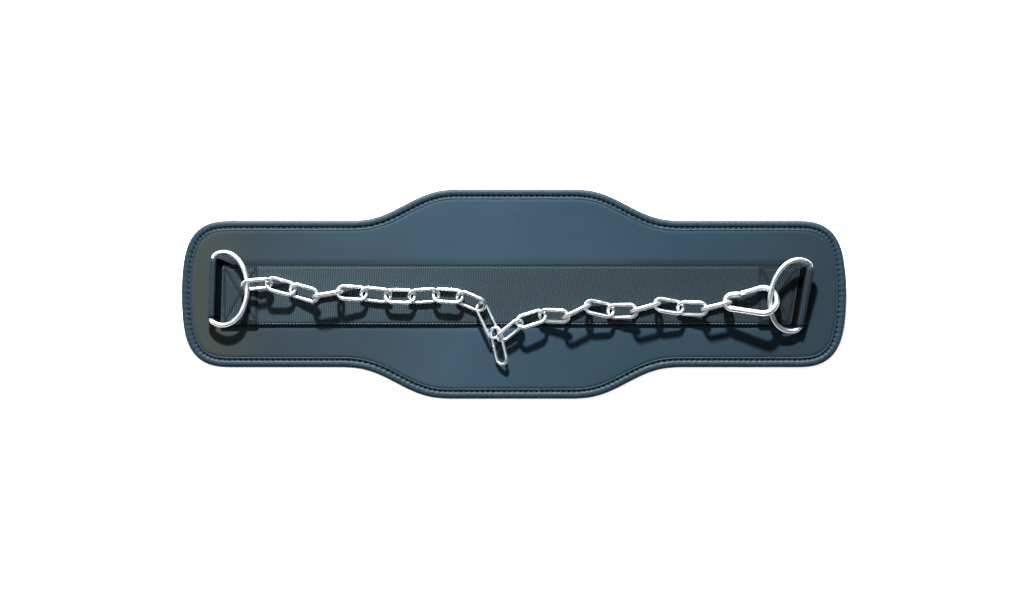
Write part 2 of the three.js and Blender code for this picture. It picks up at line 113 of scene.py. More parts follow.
# the colours along the belt are a painted falloff of light, lighter and greener at the left end
PAD_FALLOFF_TONES = ((0.0, "252b29"), (0.12, "1e282f"), (0.42, "22323d"), (0.72, "1a2a35"), (1.0, "17242c"))


def neoprene_material():
    material = new_material("neoprene_jersey")
    place = add_node(material, "ShaderNodeTexCoord").outputs["Object"]
    patches = add_node(material, "ShaderNodeTexNoise", {"Vector": place, "Scale": 5, "Detail": 2})
    split = add_node(material, "ShaderNodeSeparateXYZ", {"Vector": place})
    drift = add_node(
        material,
        "ShaderNodeMath",
        {0: patches.outputs["Fac"], 1: DYE_DRIFT, 2: split.outputs["X"]},
        operation="MULTIPLY_ADD",
    )
    along = add_node(
        material,
        "ShaderNodeMapRange",
        {"Value": drift.outputs[0], "From Min": PAD_FALLOFF_RUN[0], "From Max": PAD_FALLOFF_RUN[1]},
    )
    # painted falloff of light along the belt, made uneven by the noise patches
    falloff_tones = add_node(material, "ShaderNodeValToRGB", {"Fac": along.outputs[0]})
    stops = falloff_tones.color_ramp.elements
    stops[0].color = linear(PAD_FALLOFF_TONES[0][1])
    for position, colour in PAD_FALLOFF_TONES[1:-1]:
        stops.new(position).color = linear(colour)
    stops[-1].color = linear(PAD_FALLOFF_TONES[-1][1])
    fuzz = add_node(material, "ShaderNodeTexNoise", {"Vector": place, "Scale": 900, "Detail": 2})
    speckled = add_node(
        material,
        "ShaderNodeMix",
        {"Factor": 0.28, 6: falloff_tones.outputs["Color"], 7: fuzz.outputs["Color"]},
        data_type="RGBA",
        blend_type="SOFT_LIGHT",
    )
    dust = add_node(material, "ShaderNodeTexVoronoi", {"Vector": place, "Scale": 260})
    speck = add_node(
        material,
        "ShaderNodeMapRange",
        {"Value": dust.outputs["Distance"], "From Min": 0.12, "From Max": 0.03},
    )
    linty = add_node(
        material, "ShaderNodeMath", {0: dust.outputs["Color"], 1: 0.93}, operation="GREATER_THAN"
    )
    lint = add_node(
        material, "ShaderNodeMath", {0: speck.outputs[0], 1: linty.outputs[0]}, operation="MULTIPLY"
    )
    dusted = mixed(material, lint.outputs[0], speckled.outputs[2], linear("5a6a74"))
    loops = add_node(
        material,
        "ShaderNodeTexVoronoi",
        {"Vector": place, "Scale": 1 / (JERSEY_LOOP * MM), "Randomness": 0.75},
    )
    bump = add_node(
        material,
        "ShaderNodeBump",
        {"Height": loops.outputs["Distance"], "Strength": 0.35, "Distance": 0.12 * MM},
    )
    surface = {
        "Base Color": dusted,
        "Roughness": 0.88,
        "IOR": 1.5,
        "Specular IOR Level": 0.1,
        "Sheen Weight": 0.03,
        "Sheen Roughness": 0.5,
        "Sheen Tint": linear("8ea0b4"),
        "Normal": bump.outputs["Normal"],
    }
    return finish_material(material, surface)


neoprene = neoprene_material()

# %% [markdown]
# ## Imitation leather tape
# The edge is bound with a PU-coated tape. The coating has a fine pebbled grain and a soft gloss, so
# the rolled edge carries a broken highlight. The grain's pebbles are drawn 1 mm wide, a little coarser
# than real ones, so that they show.

# %% Binding material
GRAIN = 1.0


def tape_material():
    material = new_material("pu_coated_tape")
    place = add_node(material, "ShaderNodeTexCoord").outputs["Object"]
    grain = add_node(material, "ShaderNodeTexVoronoi", {"Vector": place, "Scale": 1 / (GRAIN * MM)})
    creases = add_node(material, "ShaderNodeTexNoise", {"Vector": place, "Scale": 260, "Detail": 4})
    height = add_node(
        material,
        "ShaderNodeMath",
        {0: grain.outputs["Distance"], 1: creases.outputs["Fac"]},
        operation="ADD",
    )
    bump = add_node(
        material,
        "ShaderNodeBump",
        {"Height": height.outputs[0], "Strength": 0.8, "Distance": 0.2 * MM},
    )
    tone = mixed(material, creases.outputs["Fac"], linear("0e1a21"), linear("1f313c"))
    gloss = add_node(
        material,
        "ShaderNodeMapRange",
        {"Value": creases.outputs["Fac"], "To Min": 0.36, "To Max": 0.62},
    )
    surface = {
        "Base Color": tone,
        "Roughness": gloss.outputs[0],
        "IOR": 1.48,
        "Specular IOR Level": 0.13,
        "Normal": bump.outputs["Normal"],
    }
    return finish_material(material, surface)


tape = tape_material()

# %% [markdown]
# ## Nylon webbing
# Heavy webbing has cross ribs, each a row of yarns that pass over and under, so the yarns of one rib
# stand half a step off those of the next. Real ribs are about 1.5 mm apart; here they are 2.3 mm and the
# yarns 1.6 mm, as coarse as they need to be to show. The pattern follows the webbing through a UV map in
# millimetres: the first number runs along the webbing and the second across it, so it goes round a fold
# as the real one does. A second map carries painted shade: where it reads 0 the webbing is painted black
# and reflects less, and where it reads 1 it keeps its own grey.

# %% Webbing material
RIB_PITCH = 2.3
YARN_PITCH = 1.6
RIB_SHARE, YARN_SHARE, LINT_SHARE = 0.7, 0.4, 2.6  # how much each one counts in the height
# the strap's grey darkens from left to right: a painted falloff of light
STRAP_FALLOFF_RUN = (150, 520)  # from here to there along the strap, in mm, the grey turns darker


def webbing_material():
    material = new_material("nylon_webbing")
    weave = add_node(material, "ShaderNodeUVMap", uv_map="weave").outputs["UV"]
    split = add_node(material, "ShaderNodeSeparateXYZ", {"Vector": weave})

    def sums(operation, *values):
        inputs = dict(enumerate(values))
        return add_node(material, "ShaderNodeMath", inputs, operation=operation).outputs[0]

    rib_turn = sums("MULTIPLY", split.outputs["X"], 1 / RIB_PITCH)
    ribs = sums("SINE", sums("MULTIPLY", rib_turn, 2 * math.pi))
    rib_number = sums("FLOOR", sums("ADD", rib_turn, 0.25))
    yarn_turn = sums("MULTIPLY", split.outputs["Y"], 2 * math.pi / YARN_PITCH)
    yarns = sums("SINE", sums("MULTIPLY_ADD", rib_number, math.pi, yarn_turn))
    lint = add_node(
        material,
        "ShaderNodeTexNoise",
        {"Vector": weave, "Scale": 0.8, "Detail": 4, "Roughness": 0.7},
    )
    woven = sums("MULTIPLY_ADD", yarns, YARN_SHARE, sums("MULTIPLY", ribs, RIB_SHARE))
    height = sums("MULTIPLY_ADD", lint.outputs["Fac"], LINT_SHARE, woven)
    bump = add_node(
        material, "ShaderNodeBump", {"Height": height, "Strength": 1.0, "Distance": 0.2 * MM}
    )
    shade = add_node(
        material, "ShaderNodeMapRange", {"Value": height, "From Min": -0.3, "From Max": 2.5}
    )
    faded = add_node(material, "ShaderNodeTexNoise", {"Vector": weave, "Scale": 0.03, "Detail": 2})
    run = add_node(
        material,
        "ShaderNodeMapRange",
        {"Value": split.outputs["X"], "From Min": STRAP_FALLOFF_RUN[0], "From Max": STRAP_FALLOFF_RUN[1]},
    )
    # painted falloff of light in the bright tone; choosing dark or bright by the weave's height paints
    # shade into its hollows
    bright = mixed(material, run.outputs[0], linear("2b3a41"), linear("1b282f"))
    dark = mixed(material, faded.outputs["Fac"], linear("0d1418"), linear("12181a"))
    tone = mixed(material, shade.outputs[0], dark, bright)
    rubbed = add_node(material, "ShaderNodeUVMap", uv_map="rubbed").outputs["UV"]
    rubbed = add_node(material, "ShaderNodeSeparateXYZ", {"Vector": rubbed}).outputs["X"]
    # painted shade: where the second map reads 0 the webbing is painted black and reflects less
    shaded_tone = mixed(material, rubbed, linear("030506"), tone)
    surface = {
        "Base Color": shaded_tone,
        "Roughness": 0.7,
        "IOR": 1.53,
        "Specular IOR Level": sums("MULTIPLY_ADD", rubbed, 0.1, 0.01),
        "Normal": bump.outputs["Normal"],
    }
    return finish_material(material, surface)


webbing = webbing_material()

# %% [markdown]
# ## Sewing thread
# Bonded polyester thread is twisted from a few plies. Three colours are used: a dark one that sinks
# into the webbing, slate on the binding, and a paler one for the strap's lower edge.


# %% Thread materials
def thread_material(name, colour):
    material = new_material(name)
    place = add_node(material, "ShaderNodeTexCoord").outputs["Object"]
    plies = add_node(
        material, "ShaderNodeTexNoise", {"Vector": place, "Scale": 2500, "Detail": 1}
    )
    bump = add_node(
        material,
        "ShaderNodeBump",
        {"Height": plies.outputs["Fac"], "Strength": 0.4, "Distance": 0.05 * MM},
    )
    tone = mixed(material, plies.outputs["Fac"], linear("0a0e11"), linear(colour))
    surface = {
        "Base Color": tone,
        "Roughness": 0.75,
        "IOR": 1.57,
        "Specular IOR Level": 0.12,
        "Normal": bump.outputs["Normal"],
    }
    return finish_material(material, surface)


dark_thread = thread_material("polyester_thread_dark", "10181d")
slate_thread = thread_material("polyester_thread_slate", "3b4c57")
pale_thread = thread_material("polyester_thread_pale", "7d929f")

# %% [markdown]
# ## Zinc-plated steel
# The rings, the chain and the hook are steel wire, bent, welded and zinc-plated. Bright zinc is a
# white metal with a faint cool tint and a fine satin haze. Tumbling leaves shallow dents of 2 to 4 mm,
# which break the reflections, and handling rubs some places a little brighter.


# %% Plated steel material
def zinc_material():
    material = new_material("zinc_plated_steel")
    place = add_node(material, "ShaderNodeTexCoord").outputs["Object"]
    dents = add_node(material, "ShaderNodeTexNoise", {"Vector": place, "Scale": 330, "Detail": 2})
    haze = add_node(material, "ShaderNodeTexNoise", {"Vector": place, "Scale": 140, "Detail": 4})
    bump = add_node(
        material,
        "ShaderNodeBump",
        {"Height": dents.outputs["Fac"], "Strength": 0.5, "Distance": 0.22 * MM},
    )
    gloss = add_node(
        material, "ShaderNodeMapRange", {"Value": haze.outputs["Fac"], "To Min": 0.24, "To Max": 0.44}
    )
    tone = mixed(material, haze.outputs["Fac"], linear("dfe6ea"), linear("f2f5f5"))
    surface = {
        "Base Color": tone,
        "Metallic": 1.0,
        "Roughness": gloss.outputs[0],
        "Normal": bump.outputs["Normal"],
    }
    return finish_material(material, surface)


zinc = zinc_material()
print("materials:", [material.name for material in bpy.data.materials])

# %% [markdown]
# ## Finishing a piece
# Every new piece sits at the origin with its place in its mesh, rides on a CAD body, takes its
# material, and hides the CAD solids it stands for. Four small helpers go with it: a CAD node's surface
# as a joined shape, a flat grid to bend, and two soft curves for dips and edges.


# %% Finish a piece, and shape helpers
def finish_piece(name, shape, material, body="belt", stands_for=()):
    """Turns a bmesh into a named object that rides on a body."""
    bmesh.ops.recalc_face_normals(shape, faces=shape.faces)
    mesh = bpy.data.meshes.new(name)
    shape.to_mesh(mesh)
    shape.free()
    for face in mesh.polygons:
        face.use_smooth = True
    mesh.materials.append(material)
    piece = bpy.data.objects.new(name, mesh)
    bpy.context.scene.collection.objects.link(piece)
    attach(piece, body)
    if stands_for:
        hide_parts(*stands_for)
    print(name, len(mesh.polygons), "faces")
    return piece


def merged_copy(node):
    """A CAD node's surface as one joined bmesh."""
    shape = bmesh.new()
    shape.from_mesh(nodes[node].data)
    bmesh.ops.remove_doubles(shape, verts=shape.verts, dist=0.002 * MM)
    return shape


def grid(columns, rows):
    """A flat grid to be bent to a form, and its corners with their columns and rows."""
    shape = bmesh.new()
    bmesh.ops.create_grid(shape, x_segments=columns, y_segments=rows, size=0.5)
    spots = [(round((v.co.x + 0.5) * columns), round((v.co.y + 0.5) * rows)) for v in shape.verts]
    return shape, list(zip(shape.verts, spots))


def bell(distance, reach):
    """1 at a line or seam, falling off softly beside it."""
    return math.exp(-((distance / reach) ** 2))


def eased(value):
    """0 to 1 with a soft start and end."""
    value = min(1.0, max(0.0, value))
    return value * value * (3 - 2 * value)


# %% [markdown]
# ## The belt's outline
# The outline is read off the CAD binding: its widest ring of corners, in order. It is then cut into
# even steps, one quarter of a stitch each, and smoothed a little, so that the lines of the CAD become
# the even curve of a cut edge.

# %% Read the outline
BINDING_RING_HEIGHT = 5.5 * MM
STITCH_PITCH = 5.4 * MM
STEPS_PER_STITCH = 4
SMOOTHING_ROUNDS = 14


def outline_corners():
    """The binding's widest ring, anticlockwise."""
    shape = merged_copy("edge_binding")
    ring = {v for v in shape.verts if abs(v.co.z - BINDING_RING_HEIGHT) < 0.05 * MM}
    loop = [max(ring, key=lambda v: (v.co.x, v.co.y))]
    while ring:
        ring.discard(loop[-1])
        onward = [e.other_vert(loop[-1]) for e in loop[-1].link_edges]
        onward = [v for v in onward if v in ring]
        if not onward:
            break
        loop.append(onward[0])
    points = [Vector((v.co.x, v.co.y)) for v in loop]
    shape.free()
    turn = sum(a.cross(b) for a, b in zip(points, points[1:] + points[:1]))
    return points if turn > 0 else points[::-1]


def even_steps(points, count):
    """A closed line of points cut into equal steps."""
    closed = points + points[:1]
    reached = [0.0]
    for a, b in zip(closed, closed[1:]):
        reached.append(reached[-1] + (b - a).length)
    steps, k = [], 0
    for i in range(count):
        target = reached[-1] * i / count
        while reached[k + 1] < target:
            k += 1
        share = (target - reached[k]) / (reached[k + 1] - reached[k])
        steps.append(closed[k].lerp(closed[k + 1], share))
    return steps


def smoothed(points, rounds):
    """A closed line with its corners eased."""
    for _ in range(rounds):
        n = len(points)
        points = [(points[i - 1] + 2 * points[i] + points[(i + 1) % n]) / 4 for i in range(n)]
    return points


corners = outline_corners()
perimeter = sum((a - b).length for a, b in zip(corners, corners[1:] + corners[:1]))
stitch_count = round(perimeter / STITCH_PITCH)
outline = smoothed(even_steps(corners, stitch_count * STEPS_PER_STITCH), SMOOTHING_ROUNDS)
print("outline corners", len(corners), "length mm", round(perimeter / MM), "stitches", stitch_count)


def inward(points):
    """At each point of a closed anticlockwise line, the unit direction into it."""
    n = len(points)
    along = [(points[(i + 1) % n] - points[i - 1]).normalized() for i in range(n)]
    return [Vector((-d.y, d.x)) for d in along]


outline_inward = inward(outline)


def inset_line(distance):
    """The outline moved in by a distance."""
    return [p + d * distance for p, d in zip(outline, outline_inward)]


# %% [markdown]
# ## The edge binding
# The tape is folded round the pad's edge and sewn through 7.5 mm in. The foam swells outside the
# seam, so the tape makes a puffed roll there; inside it a narrow lip lies flat. Each stitch pulls the
# roll in a little, so it is a string of soft puckers. A grid carries the tape's section from step to
# step round the outline, and its meeting edges are joined.

# %% Binding section
MIDDLE = 4.0
# inset from the outer edge, and height above the middle
BINDING_HALF = [
    (0.0, 0.0),
    (0.12, 1.3),
    (0.62, 2.5),
    (1.5, 3.35),
    (2.7, 3.85),
    (4.0, 4.0),
    (5.3, 3.85),
    (6.3, 3.45),
    (6.9, 3.0),
    (7.4, 2.75),
    (7.9, 3.0),
    (8.4, 3.5),
    (9.1, 3.75),
    (9.9, 3.7),
    (10.35, 3.45),
    (10.5, 2.9),
]
BINDING_SECTION = BINDING_HALF + [(u, -h) for u, h in BINDING_HALF[:0:-1]]
SEAM_INSET = 7.4


def sweep_outline(section_at, count):
    """A tube round the outline. section_at gives each step's closed line of (inset, height)."""
    sections = [section_at(i) for i in range(count)]
    around = len(sections[0])
    shape, corners_of_grid = grid(count, around)
    for v, (column, row) in corners_of_grid:
        i = column % count
        u, h = sections[i][row % around]
        v.co = (*(outline[i] + outline_inward[i] * u * MM), h * MM)
    bmesh.ops.remove_doubles(shape, verts=shape.verts, dist=0.001 * MM)
    return shape


# %% Build the binding
rng = random.Random(11)
pull = [0.55 + 0.45 * rng.random() for _ in range(stitch_count)]
PUCKER = 1.9
HOLE_PULL = (1.0, 0.3, 0.05, 0.3)  # from a needle hole to the next
HOLE_REACH = 0.9
ROLL_PULL = 0.26
ROLL_MIDDLE, ROLL_REACH = 4.6, 2.2
SWELL = 0.12
SWELL_MIDDLE, SWELL_REACH = 3.5, 3.0


def binding_section(i):
    """The tape's section at one step: tighter at a stitch, fuller between two."""
    stitch, phase = divmod(i, STEPS_PER_STITCH)
    tight = PUCKER * pull[stitch] * HOLE_PULL[phase]
    drift = SWELL * noise.noise(Vector((outline[i].x, outline[i].y, 0)) * 40)
    section = []
    for u, h in BINDING_SECTION:
        near_seam = bell(u - SEAM_INSET, HOLE_REACH) + ROLL_PULL * bell(u - ROLL_MIDDLE, ROLL_REACH)
        lower = tight * near_seam * (1 if abs(h) > 0.1 else 0)
        swell = drift * bell(u - SWELL_MIDDLE, SWELL_REACH)
        side = 1 if h > 0 else -1
        section.append((u, MIDDLE + side * max(0.0, abs(h) - lower + swell * (abs(h) > 1))))
    return section


finish_piece(
    "binding_tape",
    sweep_outline(binding_section, len(outline)),
    tape,
    stands_for=["edge_binding"],
)

# %% [markdown]
# ## The pad
# The pad is a slab of foam with its face cloth bonded on. A plain grid is laid over the shape inside
# the binding: each edge of the grid follows one side of the outline and the inside is blended from
# the four sides. It is then extruded to its thickness. Its rim rounds over under the tape's lip, the
# strap's stitching pulls a shallow trench beside the webbing, and the foam is never quite flat.

# %% Pad grid
PAD_INSET = 10.35
PAD_TOP = 8.0
PAD_BASE = 0.25
STRAP_Y = -1.0
STRAP_HALF = 30.5
STRAP_ENDS = (-292.0, 282.0)
CORNER_BIAS = 2.2  # a lobe's corner is sought towards the belt's end rather than its side
pad_edge = inset_line(PAD_INSET * MM)


def corner_index(side_x, side_y):
    """The pad edge's point at one of the four outer corners."""
    reach = [side_x * p.x * CORNER_BIAS + side_y * p.y for p in pad_edge]
    return reach.index(max(reach))


def side_of_pad(start, end, shares):
    """Points along the pad's edge between two corners, at these shares of its length."""
    n = len(pad_edge)
    line = [pad_edge[(start + k) % n] for k in range((end - start) % n + 1)]
    reached = [0.0]
    for a, b in zip(line, line[1:]):
        reached.append(reached[-1] + (b - a).length)
    out, k = [], 0
    for share in shares:
        target = share * reached[-1]
        while k < len(line) - 2 and reached[k + 1] < target:
            k += 1
        step = (target - reached[k]) / (reached[k + 1] - reached[k])
        out.append(line[k].lerp(line[k + 1], step))
    return out


def eased_shares(length, step, rim_steps):
    """Shares of a length, with the given steps near both rims and even steps between."""
    rim = [sum(rim_steps[: k + 1]) / length for k in range(len(rim_steps))]
    inner = max(4, round(length * (1 - 2 * rim[-1]) / step))
    middle = [rim[-1] + (1 - 2 * rim[-1]) * k / inner for k in range(inner + 1)]
    return [0.0, *rim[:-1], *middle, *(1 - r for r in rim[-2::-1]), 1.0]


lower_left = corner_index(-1, -1)
lower_right = corner_index(1, -1)
upper_right = corner_index(1, 1)
upper_left = corner_index(-1, 1)
RIM_STEPS = [0.5, 0.7, 1.0, 1.5, 2.2]
ACROSS = {"length": 150, "step": 2.6}
ALONG = {"length": 650, "step": 2.8}
across_shares = eased_shares(**ACROSS, rim_steps=RIM_STEPS)
along_shares = eased_shares(**ALONG, rim_steps=RIM_STEPS)
low_side = side_of_pad(lower_left, lower_right, along_shares)
right_side = side_of_pad(lower_right, upper_right, across_shares)
high_side = side_of_pad(upper_right, upper_left, [1 - s for s in along_shares][::-1])[::-1]
left_side = side_of_pad(upper_left, lower_left, [1 - s for s in across_shares][::-1])[::-1]


def blended_place(i, j):
    """A grid point inside four edge lines."""
    s, t = along_shares[i], across_shares[j]
    rows = low_side[i].lerp(high_side[i], t)
    columns = left_side[j].lerp(right_side[j], s)
    corners_mix = low_side[0].lerp(low_side[-1], s).lerp(high_side[0].lerp(high_side[-1], s), t)
    return rows + columns - corners_mix


# %% Pad surface
edge_tree = kdtree.KDTree(len(pad_edge))
for index, point in enumerate(pad_edge):
    edge_tree.insert((point.x, point.y, 0), index)
edge_tree.balance()
RIM_ROUND = 2.4
RIM_DROP = 0.75
TRENCH = 1.0
TRENCH_REACH = 2.2
TRENCH_FADE = 6.0
PULL = {"share": 0.16, "pitch": 4.1, "reach": 4.0}
PAD_WAVES = (
    {"height": 0.5, "run": (85, 60), "seed": 1.7},
    {"height": 0.12, "run": (23, 23), "seed": 4},
)
FLAT_RIM = 18.0


def trench_depth(x, y):
    """How far the strap's stitching pulls the foam down beside it."""
    beside = abs(y - STRAP_Y) - STRAP_HALF
    inside = eased((x - STRAP_ENDS[0] + 2) / TRENCH_FADE) * eased((STRAP_ENDS[1] + 2 - x) / TRENCH_FADE)
    away = bell(beside, TRENCH_REACH) if beside > 0 else 1.0
    pulls = PULL["share"] * math.sin(2 * math.pi * x / PULL["pitch"]) * bell(beside, PULL["reach"])
    return TRENCH * inside * away * (1 + pulls)


def pad_height(x, y):
    """The upper face's height at a place, in mm."""
    rim = edge_tree.find((x * MM, y * MM, 0))[2] / MM
    drop = RIM_DROP * (1 - min(1.0, rim / RIM_ROUND)) ** 2
    swell = 0.0
    for wave in PAD_WAVES:
        spot = Vector((x / wave["run"][0], y / wave["run"][1], wave["seed"]))
        swell += wave["height"] * noise.noise(spot)
    return PAD_TOP - drop + swell * eased(rim / FLAT_RIM) - trench_depth(x, y)


def build_pad():
    """The grid, extruded to a closed slab."""
    shape, corners_of_grid = grid(len(along_shares) - 1, len(across_shares) - 1)
    for v, (column, row) in corners_of_grid:
        v.co = (*blended_place(column, row), PAD_BASE * MM)
    raised = bmesh.ops.extrude_face_region(shape, geom=list(shape.faces))["geom"]
    for v in [g for g in raised if isinstance(g, bmesh.types.BMVert)]:
        v.co.z = pad_height(v.co.x / MM, v.co.y / MM) * MM
    return shape


pad = finish_piece(
    "neoprene_pad", build_pad(), neoprene, stands_for=["belt_pad"]
)

# %% [markdown]
# ## The strap and the tabs
# The strap is one length of 60 mm webbing. Its edges are sewn down, so it is crowned: flat in the
# middle and pulled into the foam along both edges. The ends lie over the legs of the ring tabs and
# stand a little higher. A grid is bent to that form and given the webbing's thickness.

# %% Strap
STRAP_THICKNESS = 1.8
STRAP_FLAT = 8.3 + STRAP_THICKNESS
PATCH_RISE = 2.6
PATCH_RUN = (-256.0, 244.0)
PATCH_STEP = 3.0  # the run over which the strap rises onto the tab's legs
# painted shade on the end patches inside the rings, where the rings' shadows fall
PATCH_SHADE = 0.2
PATCH_FADE = 8.0
EDGE_START, EDGE_RUN, EDGE_DROP = 27.2, 3.3, 0.9
# painted shade along both edges, where the strap sinks into the foam
EDGE_SHADE = {"start": 28.2, "run": 1.6, "share": 0.85}
EDGE_SEAM = 28.6
EDGE_DIP, EDGE_DIP_REACH = 0.5, 1.0
# the first and last values shape the box seams' dips; the middle one is the painted shade in them
BOX_DIP, BOX_SHADE, BOX_REACH = 0.95, 0.7, 1.15
STRAP_COLUMNS, STRAP_ROWS = 440, 60
RING_TURNS = {"left": math.radians(-2.0), "right": math.radians(-9.3)}


def weave_maps(shape, flat):
    """Gives each face corner its place on the webbing in mm, along and across, and its share of light: 0
    where painted shade makes it black.
    """
    weave = shape.loops.layers.uv.new("weave")
    rubbed = shape.loops.layers.uv.new("rubbed")
    for face in shape.faces:
        for corner in face.loops:
            along, across, lit_share = flat[corner.vert]
            corner[weave].uv = (along, across)
            corner[rubbed].uv = (lit_share, 0)


BOX_HALF = 27.0
BOX_GAP = 1.5  # inside the step to the patch
BOX_END = 3.0  # inside the strap's end
BOX_SEAMS = []
for low_x, high_x, high_lean in (
    (STRAP_ENDS[0] + BOX_END, PATCH_RUN[0] - BOX_GAP, 0),
    (PATCH_RUN[1] + BOX_GAP, STRAP_ENDS[1] - BOX_END, -math.tan(RING_TURNS["right"])),
):
    box = [
        Vector((low_x, -BOX_HALF)),
        Vector((high_x - high_lean * BOX_HALF, -BOX_HALF)),
        Vector((high_x + high_lean * BOX_HALF, BOX_HALF)),
        Vector((low_x, BOX_HALF)),
    ]
    BOX_SEAMS += [(box[a], box[b]) for a, b in ((0, 1), (1, 2), (2, 3), (3, 0), (0, 2), (1, 3))]


def seam_distance(x, y):
    """How far a place on the strap is from the nearest box or cross seam, in mm."""
    here = Vector((x, y))
    found = []
    for start, end in BOX_SEAMS:
        run = end - start
        share = min(1.0, max(0.0, (here - start).dot(run) / run.length_squared))
        found.append((start + run * share - here).length)
    return min(found)


def strap_height(x, y):
    """The height of the strap's top at a place, in mm."""
    near_edge = eased((abs(y) - EDGE_START) / EDGE_RUN)
    patch = max(
        eased((PATCH_RUN[0] - x) / PATCH_STEP + 0.5), eased((x - PATCH_RUN[1]) / PATCH_STEP + 0.5)
    )
    seam = EDGE_DIP * bell(abs(y) - EDGE_SEAM, EDGE_DIP_REACH)
    if patch > 0:
        seam += BOX_DIP * bell(seam_distance(x, y), BOX_REACH)
    wave = 0.1 * noise.noise(Vector((x / 16, y / 16, 9)))
    wave += 0.06 * near_edge * math.sin(2 * math.pi * x / PULL["pitch"])
    lifted = PATCH_RISE * patch * (1 - 0.25 * near_edge)
    return STRAP_FLAT + lifted - EDGE_DROP * near_edge - seam + wave


def build_strap():
    """A grid with the strap's crown, made as thick as the webbing."""
    length = STRAP_ENDS[1] - STRAP_ENDS[0]
    shape, corners_of_grid = grid(STRAP_COLUMNS, STRAP_ROWS)
    flat = {}
    for v, (column, row) in corners_of_grid:
        share_x, y = column / STRAP_COLUMNS, STRAP_HALF * (2 * row / STRAP_ROWS - 1)
        end_left = STRAP_ENDS[0] - y * math.tan(RING_TURNS["left"])
        end_right = STRAP_ENDS[1] - y * math.tan(RING_TURNS["right"])
        x = end_left + share_x * (end_right - end_left)
        in_patch = max(
            eased((PATCH_RUN[0] - 2 - x) / PATCH_FADE), eased((x - PATCH_RUN[1] + 2) / PATCH_FADE)
        )
        at_edge = eased((abs(y) - EDGE_SHADE["start"]) / EDGE_SHADE["run"])
        # painted shade: on the end patches, along the sunken edges, and in the box seams' dips on the
        # patches
        painted_shade = max(PATCH_SHADE * in_patch, EDGE_SHADE["share"] * at_edge)
        if x < PATCH_RUN[0] or x > PATCH_RUN[1]:
            painted_shade = max(painted_shade, BOX_SHADE * bell(seam_distance(x, y), BOX_REACH))
        flat[v] = (share_x * length, y, 1 - painted_shade)
        v.co = Vector((x, y + STRAP_Y, strap_height(x, y))) * MM
    weave_maps(shape, flat)
    bmesh.ops.recalc_face_normals(shape, faces=shape.faces)
    if sum(f.normal.z for f in shape.faces) < 0:
        bmesh.ops.reverse_faces(shape, faces=shape.faces)
    bmesh.ops.solidify(shape, geom=list(shape.faces), thickness=STRAP_THICKNESS * MM)
    return shape


strap = finish_piece(
    "webbing_band", build_strap(), webbing, stands_for=["webbing_strap"]
)

# %% [markdown]
# ## Where the metal lies
# Each ring and link is symmetrical, so its own centre and axes can be read off the spread of its CAD
# corners: longest first. That keeps the smooth wires exactly where the solids are.


# %% Read the metal's places
WIRE_ROUNDNESS = 5


def own_axes(node):
    """A CAD piece's corners, their centre, and its longest and its second axis."""
    shape = merged_copy(node)
    points = numpy.array([v.co[:] for v in shape.verts])
    shape.free()
    centre = points.mean(axis=0)
    axes = numpy.linalg.eigh(numpy.cov((points - centre).T))[1]
    return points, Vector(centre), Vector(axes[:, 2]), Vector(axes[:, 1])


def wire_frame(origin, along, aside):
    """A matrix whose X runs along a wire's plane, Y aside, and Z out of the plane."""
    up = along.cross(aside)
    frame_of_wire = Matrix((along, aside, up)).transposed().to_4x4()
    frame_of_wire.translation = origin
    return frame_of_wire


def bent_wire(name, points, radius, place, stands_for, closed=True, swellings=None, body="belt"):
    """A round wire along a line of flat points in mm, placed by a matrix. swellings scale its radius."""
    curve = bpy.data.curves.new(name, "CURVE")
    curve.dimensions = "3D"
    curve.bevel_depth = radius * MM
    curve.bevel_resolution = WIRE_ROUNDNESS
    curve.use_fill_caps = not closed
    spline = curve.splines.new("POLY")
    spline.points.add(len(points) - 1)
    for k, (x, y) in enumerate(points):
        spline.points[k].co = (*(place @ Vector((x * MM, y * MM, 0))), 1)
        spline.points[k].radius = swellings[k] if swellings else 1
    spline.use_cyclic_u = closed
    holder = bpy.data.objects.new(name + "_path", curve)
    bpy.context.scene.collection.objects.link(holder)
    finished = holder.evaluated_get(bpy.context.evaluated_depsgraph_get())
    made = bpy.data.meshes.new_from_object(finished)
    bpy.data.objects.remove(holder)
    bpy.data.curves.remove(curve)
    shape = bmesh.new()
    shape.from_mesh(made)
    bpy.data.meshes.remove(made)
    bmesh.ops.remove_doubles(shape, verts=shape.verts, dist=0.001 * MM)
    return finish_piece(name, shape, zinc, body=body, stands_for=stands_for)


# %% [markdown]
# ## D-rings
# Each is 5 mm wire: a straight bar, a tight bend at each end of it, and a half-oval arc.

# %% D-rings
RING_WIRE = 5.0
RING_HALF = 36.25
RING_DEPTH = 36.0
RING_BEND = (11.0, 5.8)


def arc_points(centre, radii, start, end, steps):
    """Points on an oval arc, in degrees."""
    angles = [math.radians(start + (end - start) * k / steps) for k in range(steps + 1)]
    return [(centre[0] + radii[0] * math.cos(a), centre[1] + radii[1] * math.sin(a)) for a in angles]


